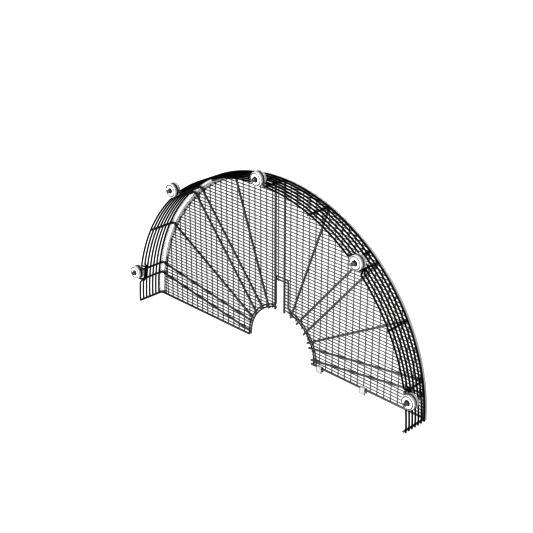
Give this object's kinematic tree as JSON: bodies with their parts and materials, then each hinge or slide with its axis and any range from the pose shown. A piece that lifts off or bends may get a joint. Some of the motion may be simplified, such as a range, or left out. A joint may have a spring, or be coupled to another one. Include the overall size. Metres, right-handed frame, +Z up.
{
  "type": "wire fan guard",
  "caption": "Half-round welded wire guard for a large cooling fan, with a hub opening, a shallow wall of hoops, an edge band and rubber-mounted fixing points.",
  "frame": {"origin": "where the fan's axis crosses the mounting plane, the front ends of the five sleeves", "axes": "+X along the split line to the side with the clips, +Y from the mounting plane along the fan's axis to the mesh face, +Z up from the split line"},
  "size_m": [0.961, 0.1004, 0.4979],
  "materials": {
    "wire_paint": "satin black powder coat",
    "mesh_paint": "satin black powder coat on thin wire",
    "band_plate": "light grey enamel, slightly glossy",
    "clip_plate": "light grey enamel",
    "grommet_rubber": "matt off-white",
    "sleeve_steel": "turned, zinc plated"
  },
  "bodies": {
    "root": {"bottom_wire_left": "wire_paint", "bottom_wire_right": "wire_paint", "clip_1": "clip_plate", "clip_2": "clip_plate", "edge_band": "band_plate", "grommet_10": "grommet_rubber", "grommet_130": "grommet_rubber", "grommet_170": "grommet_rubber", "grommet_50": "grommet_rubber", "grommet_90": "grommet_rubber", "hairpin_10": "wire_paint", "hairpin_130": "wire_paint", "hairpin_170": "wire_paint", "hairpin_50": "wire_paint", "hairpin_90": "wire_paint", "hoop_1": "wire_paint", "hoop_2": "wire_paint", "hoop_3": "wire_paint", "hoop_4": "wire_paint", "hoop_5": "wire_paint", "hoop_6": "wire_paint", "hoop_7": "wire_paint", "hub_frame_wire": "wire_paint", "hub_wire_left": "wire_paint", "hub_wire_right": "wire_paint", "mesh_cross_wires": "mesh_paint", "mesh_uprights": "mesh_paint", "sleeve_10": "sleeve_steel", "sleeve_130": "sleeve_steel", "sleeve_170": "sleeve_steel", "sleeve_50": "sleeve_steel", "sleeve_90": "sleeve_steel", "slot_bar": "wire_paint", "spoke_110": "wire_paint", "spoke_150": "wire_paint", "spoke_30": "wire_paint", "spoke_70": "wire_paint"}
  },
  "joints": []
}
